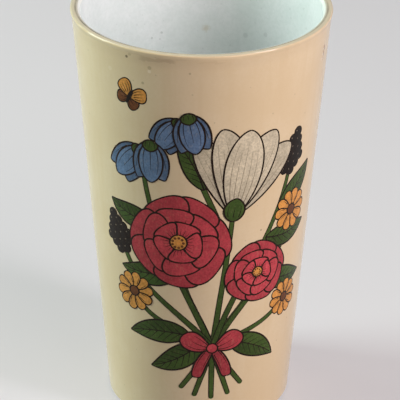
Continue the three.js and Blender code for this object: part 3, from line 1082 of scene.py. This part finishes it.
def print_bell(name, top, length, width, heading):
    """A middle petal between two darker ones that curl outwards."""
    piece = Print(blue_ink, key_ink)
    for side in (1, -1):
        root = around(top, 0.1 * width, heading + 90 * side)
        shape = blade(root, heading + 15 * side, length, 0.62 * width, 26 * side, rise=0.62, fall=0.75)
        draw_petal(piece, shape, blue_ink, 0.8, (3, 0.25, 0.75))
    shape = blade(top, heading, 1.04 * length, 0.66 * width, rise=0.6, fall=0.62)
    draw_petal(piece, shape, blue_ink, 1.05, (3, 0.2, 0.8))
    piece.make(name)


def print_marigold(name, centre, radius, first_heading):
    """A ring of ten petals, each laid over the one before."""
    piece = Print(gold_ink, key_ink)
    petal_count = 10
    for petal in range(petal_count):
        heading = first_heading + 360 * petal / petal_count
        root = around(centre, 0.15 * radius, heading)
        shape = blade(root, heading, 0.86 * radius, 0.5 * radius, rise=0.8, fall=0.4)
        draw_petal(piece, shape, gold_ink, 1, (2, 0.3, 0.72), 0.8 * key_width)
    piece.make(name)


def print_marigold_heart(name, centre, radius):
    """A brown disc over the roots of the petals."""
    piece = Print(brown_ink, key_ink)
    draw_disc(piece, centre, 0.26 * radius, brown_ink)
    piece.make(name)


def print_berries(name, centre, radius, heading):
    """Rows of berries across a spike, each with a small light on it. The third row has the most
    and lies on the centre."""
    piece = Print(black_ink, light_ink, key_ink)
    rows, fullest_row = [2, 3, 4, 3, 2, 1], 2
    for row, count in enumerate(rows):
        middle = around(centre, (row - fullest_row) * 0.41 * radius, heading)
        for berry in range(count):
            x, y = around(middle, (berry - (count - 1) / 2) * 0.44 * radius, heading + 90)
            draw_disc(piece, (x, y), 0.27 * radius, black_ink, key_line=0.6 * key_width)
            light = (x - 0.09 * radius, y + 0.09 * radius)
            piece.fill([disc(light, 0.05 * radius)], light_ink)
    piece.make(name)


def print_bow(size):
    """Two darker tails that hang down, and two loops above them."""
    piece = Print(crimson_ink, key_ink)
    for side in (1, -1):
        tail = blade(knot, -90 + 24 * side, 1.15 * size, 0.36 * size, -30 * side, rise=0.35, fall=0.2)
        draw_petal(piece, tail, crimson_ink, 0.8, (2, 0.2, 0.8))
    for side in (1, -1):
        loop = blade(knot, 90 - 62 * side, size, 0.66 * size, 30 * side, rise=0.9, fall=0.45)
        draw_petal(piece, loop, crimson_ink, 1, (3, 0.15, 0.75))
    piece.make("print_bow")


def print_knot(radius):
    """A disc where the loops and tails of the bow meet."""
    piece = Print(crimson_ink, key_ink)
    draw_disc(piece, knot, radius, crimson_ink, 1.1)
    piece.make("print_bow_knot")


def print_butterfly(centre, heading, size):
    """Two brown lower wings, and two golden upper ones over them."""
    piece = Print(gold_ink, brown_ink, key_ink)
    for side in (1, -1):
        wing_heading = heading - 118 * side
        lower = blade(centre, wing_heading, 0.72 * size, 0.66 * size, 10 * side, fall=0.45)
        draw_petal(piece, lower, brown_ink, 1.2, (3, 0.2, 0.8), 0.8 * key_width)
    for side in (1, -1):
        wing_heading = heading - 52 * side
        upper = blade(centre, wing_heading, size, 0.8 * size, -20 * side, rise=0.9, fall=0.4)
        draw_petal(piece, upper, gold_ink, 1, (4, 0.3, 0.85), 0.8 * key_width)
    piece.make("print_butterfly")


def print_butterfly_body(centre, heading, length, width):
    """A slim black blade between the wings."""
    body_behind = 2.1
    piece = Print(black_ink, key_ink)
    tail = around(centre, body_behind, heading + 180)
    draw_petal(piece, blade(tail, heading, length, width), black_ink, key_line=0.5 * key_width)
    piece.make("print_butterfly_body")


def print_posy():
    """Lays the whole print, from the lowest films to the highest."""
    print_foliage()
    butterfly, butterfly_heading = (-25, 96), 65
    print_butterfly(butterfly, butterfly_heading, size=5.6)
    print_butterfly_body(butterfly, butterfly_heading, length=4.8, width=1.1)

    marigolds = {"right": ((25, 58), 6.4, 0), "left": ((-23.5, 34), 6.2, 12), "low": ((24, 29), 5.8, 5)}
    for name, (centre, radius, first_heading) in marigolds.items():
        print_marigold(f"print_marigold_{name}", centre, radius, first_heading)
        print_marigold_heart(f"print_marigold_{name}_heart", centre, radius)
    berries = {"right": ((24, 76), 5.6, 70), "left": ((-29, 51), 5.4, 112)}
    for side, (centre, radius, heading) in berries.items():
        print_berries(f"print_berries_{side}", centre, radius, heading)

    roses = {"large": ((-10, 53), 14.2, 10), "small": ((13, 41.5), 9.6, 20)}
    for size, (centre, radius, first_heading) in roses.items():
        print_rose(f"print_rose_{size}", centre, radius, first_heading)
        print_rose_heart(f"print_rose_{size}_heart", centre, radius)

    bells = {
        "left_back": ((-21.5, 81), 12, 11, -128),
        "top_back": ((-10, 91), 10.5, 10, -125),
        "left_front": ((-18.5, 83.5), 12, 11, -88),
        "top_front": ((-8, 93), 11.5, 10.5, -78),
    }

    def hang_bell(name):
        top, length, width, heading = bells[name]
        print_bell(f"print_bell_{name}", top, length, width, heading)
        print_calyx(f"print_bell_{name}_calyx", top, heading, 0.3 * length, 0.42 * width)

    hang_bell("left_back")
    hang_bell("top_back")
    lily_base, lily_heading = (5, 61), 80
    print_lily(lily_base, lily_heading, length=28, width=20)
    print_calyx("print_lily_calyx", lily_base, lily_heading, length=7.3, width=6)
    hang_bell("left_front")
    hang_bell("top_front")

    print_bow(size=9.5)
    print_knot(radius=1.6)


# The beaker
ivory_glaze = ivory_finish()
make_piece("clay_wall", [clay_skin()], [clay_finish()], "clay_body")
make_piece("ivory_coat", [outer_coat_skin()], [ivory_glaze], "outer_glaze")
make_piece("white_lining", [lining_skin()], [white_finish()], "inner_glaze")
make_piece("underside_coat", [underside_coat_skin()], [ivory_glaze], "base_glaze")
print_posy()


# Studio

# The floor: half its width, its colours where it is seen and for the light that it throws back, the
# share of black in its lit colour, and the strength of its own glow
floor_half = 4000
floor_paper = linear(208, 204, 205)
floor_cloud = linear(204, 200, 202)
floor_thrown_back = linear(90, 90, 89)
floor_darkening = 0.4
floor_glow = 0.56

fill_light = (0.03, 0.03, 0.03, 1)
backdrop = (0.61, 0.605, 0.605, 1)
green_white = (0.83, 1.0, 0.94)

# Degrees above the horizon, and metres from the beaker's middle
lamp_elevation = 26
lamp_distance = 0.9

# Degrees from the front, width and height in metres, power in watts, colour
lamps = {
    "left_softbox": (-98, 0.35, 1.0, 11.5, green_white),
    "left_strip": (-124, 0.1, 0.6, 0.6, green_white),
    "right_softbox": (36, 0.5, 0.8, 3.2, (1.0, 0.92, 0.85)),
    "right_strip": (61, 0.15, 0.8, 6.1, (0.97, 0.905, 0.98)),
}


def seen_directly(tree):
    """1 where the camera, a reflection or glass sees the surface, and 0 where its light falls on
    something else."""
    path = add_node(tree, "LightPath")
    rays = ("Is Camera Ray", "Is Glossy Ray", "Is Transmission Ray")
    return greatest(*(path.outputs[ray] for ray in rays))


def add_floor():
    """A wide square floor at the ground. It is pale where it is seen, with a very faint cloudiness,
    keeps its shadows, and throws little light back up."""
    half = floor_half * millimetre
    corners = [(-half, -half, 0), (half, -half, 0), (half, half, 0), (-half, half, 0)]
    mesh = bpy.data.meshes.new("floor")
    mesh.from_pydata(corners, [], [(0, 1, 2, 3)])
    finish, shader = new_finish("floor_paper", Roughness=0.8, Specular_IOR_Level=0.2)
    seen = seen_directly(finish.node_tree)
    clouds = patches(object_place(finish.node_tree), 400, spread=wide_spread)
    pale = blend(clouds, floor_paper, floor_cloud)
    lit = blend(floor_darkening, pale, linear(0, 0, 0))
    feed(shader, Base_Color=blend(seen, floor_thrown_back, lit))
    feed(shader, Emission_Color=pale, Emission_Strength=weakened(seen, floor_glow))
    mesh.materials.append(finish)
    add_object("floor", mesh)


def direction(turn, elevation):
    """Unit vector at an angle round from the front, positive to the right, and an angle above the
    horizon."""
    turn, elevation = math.radians(turn), math.radians(elevation)
    level = math.cos(elevation)
    return Vector((math.sin(turn) * level, -math.cos(turn) * level, math.sin(elevation)))


def soft_light(name, turn, width, tall, power, colour):
    """A rectangular lamp that faces the beaker's middle."""
    lamp = bpy.data.lights.new(name, "AREA")
    lamp.shape = "RECTANGLE"
    lamp.size, lamp.size_y = width, tall
    lamp.energy = power
    lamp.color = colour
    holder = add_object(name, lamp)
    towards = direction(turn, lamp_elevation)
    holder.location = Vector((0, 0, view_centre_height * millimetre)) + towards * lamp_distance
    holder.rotation_euler = towards.to_track_quat("Z", "Y").to_euler()


def add_world():
    """Pale where the camera, a reflection or glass sees it, and a weak fill light elsewhere."""
    world = bpy.data.worlds.new("studio")
    world.use_nodes = True
    tree = world.node_tree
    colour = blend(seen_directly(tree), fill_light, backdrop)
    tree.links.new(colour, tree.nodes["Background"].inputs["Color"])
    bpy.context.scene.world = world


def add_camera():
    """Stands where the photograph was taken from, with its small roll."""
    lens = bpy.data.cameras.new("photo_view")
    lens.sensor_width = sensor_width
    lens.lens = focal_pixels * sensor_width / photo_width
    camera = add_object("photo_view", lens)
    back = direction(0, view_elevation)
    right = Vector((1, 0, 0))
    up = back.cross(right)
    side = right * math.cos(view_roll) + up * math.sin(view_roll)
    top = up * math.cos(view_roll) - right * math.sin(view_roll)
    facing = Matrix((side, top, back)).transposed().to_4x4()
    place = Vector((0, 0, view_centre_height)) + back * view_distance
    camera.matrix_world = Matrix.Translation(place * millimetre) @ facing
    bpy.context.scene.camera = camera


add_floor()
add_world()
for name, settings in lamps.items():
    soft_light(name, *settings)
add_camera()
bpy.context.scene.view_settings.view_transform = "Standard"
